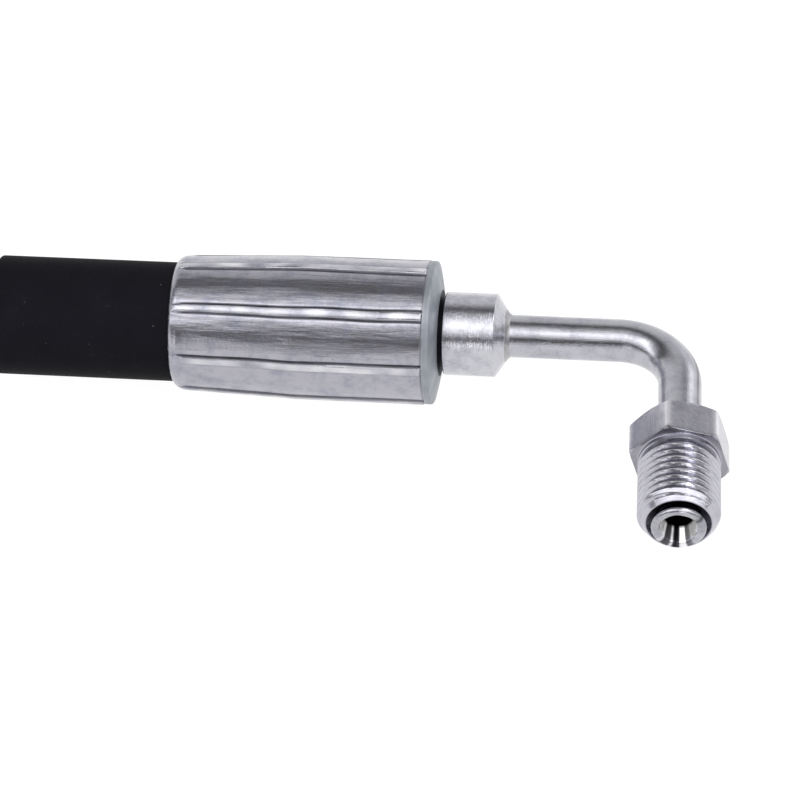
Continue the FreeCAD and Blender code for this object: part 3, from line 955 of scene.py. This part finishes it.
def make_nut():
    """Hexagon, plain land, relief groove, helical thread and chamfered nose, bored for the tube."""
    angle = nut_columns()[None, :]
    hexagon = hexagon_radius(angle)
    hex_front = nut_back + hex_length
    flat = hex_back_chamfer_radius
    chamfer = (hexagon - flat) * hex_chamfer_slope
    front_flat = np.minimum(hexagon - 0.02, hex_front_chamfer_radius)
    front_chamfer = (hexagon - front_flat) * hex_chamfer_slope
    bore = tube_radius + nut_clearance
    ones = np.ones_like(angle)

    def ring(station, radius):
        """A row at one station."""
        return station * ones, radius * ones

    rows = [
        ring(nut_back, bore + nut_entry_chamfer), ring(nut_back, 4.2), ring(nut_back, flat - 0.1),
        ring(nut_back, flat),
        (nut_back + chamfer * 0.93, flat + (hexagon - flat) * 0.93),
        (nut_back + chamfer + 0.03, hexagon),
    ]
    for share in np.linspace(0.1, 0.9, 7):
        along_flat = chamfer * (1 - share) + (hex_length - front_chamfer) * share
        rows.append((nut_back + along_flat, hexagon))
    rows += [
        (hex_front - front_chamfer - 0.03, hexagon), ring(hex_front, front_flat),
        ring(hex_front, front_flat - 0.1), ring(hex_front, thread_radius + 0.12),
        ring(hex_front + 0.05, thread_radius),
    ]
    land_end = hex_front + land_length
    thread_start = land_end + relief_length
    rows += [
        ring(land_end - 0.12, thread_radius), ring(land_end - 0.02, thread_radius - 0.12),
        ring(land_end + 0.12, relief_radius + 0.1), ring(land_end + 0.2, relief_radius),
        ring(thread_start - 0.15, relief_radius),
    ]
    count = int((nut_front - thread_start) / thread_pitch * rows_per_turn)
    chamfer_slope = (thread_radius - nut_nose_radius) / nose_chamfer_length
    for station in np.linspace(thread_start - 0.1, nut_front - 0.02, count):
        thread = thread_form(station, angle, thread_start)
        run_in = relief_radius + max(station - thread_start + 0.1, 0) * 1.8
        chamfered = nut_nose_radius + (nut_front - station) * chamfer_slope
        outermost = np.maximum(chamfered, nut_nose_radius - 0.02)
        rows.append(ring(station, np.minimum(np.minimum(thread, run_in), outermost)))
    seat_start = nut_front - (nut_seat_radius - bore) / math.tan(math.radians(flare_back_angle))
    inside_rows = [
        ring(nut_front, nut_seat_radius), ring(seat_start, bore),
        ring(nut_back + nut_entry_chamfer, bore),
    ]
    rows += [ring(nut_front, nut_nose_radius - 0.06), *inside_rows]
    station = np.concatenate([row[0] for row in rows])
    radius = np.concatenate([row[1] for row in rows])
    coordinates = straight_coordinates(station, radius, angle)
    radius = radius + 0.01 * wander(coordinates, 2.5) * (station < hex_front)
    turns = np.clip((station - thread_start) / thread_pitch, 0, 1)
    # Painted shade in the thread's roots, stronger after the first turn.
    root = np.clip((thread_root_radius + 0.3 - radius) / 0.3, 0, 1) * (station > land_end)
    root = root * np.clip((nut_front - 1.1 - station) / 0.3, 0, 1)
    # Painted highlight on the thread's crests.
    crest = np.clip((radius - thread_radius + 0.1) / 0.1, 0, 1) * (station > thread_start)
    inside = (np.arange(len(station)) >= len(station) - len(inside_rows))[:, None]
    on_corner = np.clip((hexagon - across_flats / 2 * 1.09) / 0.25, 0, 1)
    # The hexagon's corners are brightened as scuffing, and the thread's crests as a painted highlight.
    worn_and_highlit = 0.5 * on_corner * (radius > flat) * (station < hex_front) + 0.3 * crest
    # Painted shade on the hexagon's front face.
    front_face = 0.35 * (station > hex_front - 0.3) * (radius > thread_radius + 0.1)
    outside_marks = 0.85 * root * (0.4 + 0.6 * turns) - worn_and_highlit + front_face
    # Painted shade in the bore and the seat, darkest at the top.
    marks = np.where(inside, 0.55 + 0.45 * np.cos(angle), outside_marks)
    piece = closed_piece("nut", LEG.place(station, radius, angle), coordinates, marks, 24)
    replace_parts(dress(piece, "nut_zinc"), "tube_nut")
    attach(piece, "tube_nut")


# ---------------------------------------------------------------- studio

def lobe(graph, direction, target, width):
    """A soft spot in the sky: 1 towards target, fading over width degrees."""
    target = Vector(target).normalized()
    closeness = graph.vector("DOT_PRODUCT", direction, tuple(target))
    sharpness = 2 / math.radians(width) ** 2
    return graph.calc("EXPONENT", graph.calc("MULTIPLY", graph.calc("SUBTRACT", closeness, 1.0),
                                             sharpness))


def over(degrees):
    """A direction in the YZ plane, turned from +Z towards -Y."""
    return (0.0, -math.sin(math.radians(degrees)), math.cos(math.radians(degrees)))


# Each gap in the tent's cloth: where it is, its width in degrees and how dark it is.
tent_gaps = (
    ((0.33, 0.70, 0.63), 14, 0.5), ((-0.05, -0.97, 0.23), 9, 1.0), ((0.42, -0.90, 0.12), 6, 0.8),
)
# Each small softbox: where it is, its width in degrees and its light.
softboxes = (
    ((0.61, 0.708, 0.353), 13, 0.9), ((0.19, -0.965, 0.20), 8, 4.0),
    ((0.33, -0.70, 0.62), 10, 2.0), ((-0.40, -0.90, 0.21), 8, 0.9),
    ((0.47, 0.10, 0.88), 9, 8.0), ((-0.55, -0.15, 0.82), 7, 2.0),
)
cloth_light = 0.92
strip_light = 1.25


def make_sky():
    """A pale tent with one long softbox above along the hose, six small ones and five darker gaps."""
    world = bpy.data.worlds.new("studio")
    bpy.context.scene.world = world
    world.use_nodes = True
    graph = Graph(world.node_tree)
    direction = graph.add("ShaderNodeTexCoord").outputs["Generated"]
    flat = graph.vector("NORMALIZE", graph.vector("MULTIPLY", direction, (0.0, 1.0, 1.0)))
    strip = lobe(graph, flat, over(24), 15)
    gaps = [(lobe(graph, flat, over(-25), 17), 0.86), (lobe(graph, flat, over(64), 12), 0.95)]
    gaps += [(lobe(graph, direction, target, width), depth) for target, width, depth in tent_gaps]
    light = 1.0
    for gap, depth in gaps:
        left = graph.calc("SUBTRACT", 1.0, graph.calc("MULTIPLY", gap, depth))
        light = graph.calc("MULTIPLY", light, left)
    light = graph.calc("MULTIPLY", light, cloth_light)
    light = graph.calc("ADD", light, graph.calc("MULTIPLY", strip, strip_light))
    for target, width, gain in softboxes:
        box = lobe(graph, direction, target, width)
        light = graph.calc("ADD", light, graph.calc("MULTIPLY", box, gain))
    seen = graph.add("ShaderNodeLightPath").outputs["Is Camera Ray"]
    hidden = graph.calc("SUBTRACT", 1.0, seen)
    strength = graph.calc("ADD", seen, graph.calc("MULTIPLY", hidden, light))
    background = graph.add("ShaderNodeBackground",
                           {"Color": rgb(0.99, 0.99, 1.0), "Strength": strength})
    output = graph.add("ShaderNodeOutputWorld")
    graph.tree.links.new(background.outputs[0], output.inputs["Surface"])


floor_half_width = 3.0


def make_floor():
    """A plain white floor under the lowest point of the object."""
    half = floor_half_width
    low, high = cad_box
    centre = (low + high) / 2
    height = low.z
    corners = [(centre.x + half * x, centre.y + half * y, height)
               for x, y in ((-1, -1), (1, -1), (1, 1), (-1, 1))]
    mesh = bpy.data.meshes.new("floor")
    mesh.from_pydata(corners, [], [(0, 1, 2, 3)])
    floor = add_object("floor", mesh)
    material, graph = new_material("floor")
    shader = graph.add("ShaderNodeBsdfPrincipled", {
        "Base Color": rgb(0.1, 0.1, 0.1), "Roughness": 0.9, "Specular IOR Level": 0.0,
        "Emission Color": rgb(1.0, 1.0, 1.0), "Emission Strength": 0.97,
    })
    output = graph.add("ShaderNodeOutputMaterial")
    graph.tree.links.new(shader.outputs[0], output.inputs["Surface"])
    mesh.materials.append(material)


# Degrees, except the distance and the aim, which are millimetres.
camera_azimuth = 9.42
camera_elevation = 44.16
camera_roll = -4.02
camera_distance = 517.5
camera_lens = 157.5
aim_along = -41.45
aim_up = -8.40


def make_camera():
    """The camera; the picture's centre is given from the elbow, along and up in the picture."""
    azimuth, elevation = math.radians(camera_azimuth), math.radians(camera_elevation)
    roll = math.radians(camera_roll)
    back = Vector((math.sin(azimuth) * math.cos(elevation), -math.cos(azimuth) * math.cos(elevation),
                   math.sin(elevation)))
    level = Vector((math.cos(azimuth), math.sin(azimuth), 0.0))
    upward = back.cross(level)
    right = level * math.cos(roll) + upward * math.sin(roll)
    top = upward * math.cos(roll) - level * math.sin(roll)
    data = bpy.data.cameras.new("camera")
    data.lens = camera_lens
    data.clip_start = 0.01
    camera = add_object("camera", data)
    place = Vector(elbow) + right * aim_along + top * aim_up + back * camera_distance
    matrix = camera.matrix_world
    for column, vector in enumerate((right, top, back, place / METRE)):
        for row in range(3):
            matrix[row][column] = vector[row]
    camera.matrix_world = matrix
    bpy.context.scene.camera = camera


make_hose()
make_ferrule()
make_stem()
make_braze()
make_tube()
make_nut()
make_sky()
make_floor()
make_camera()
bpy.context.scene.view_settings.view_transform = "Standard"
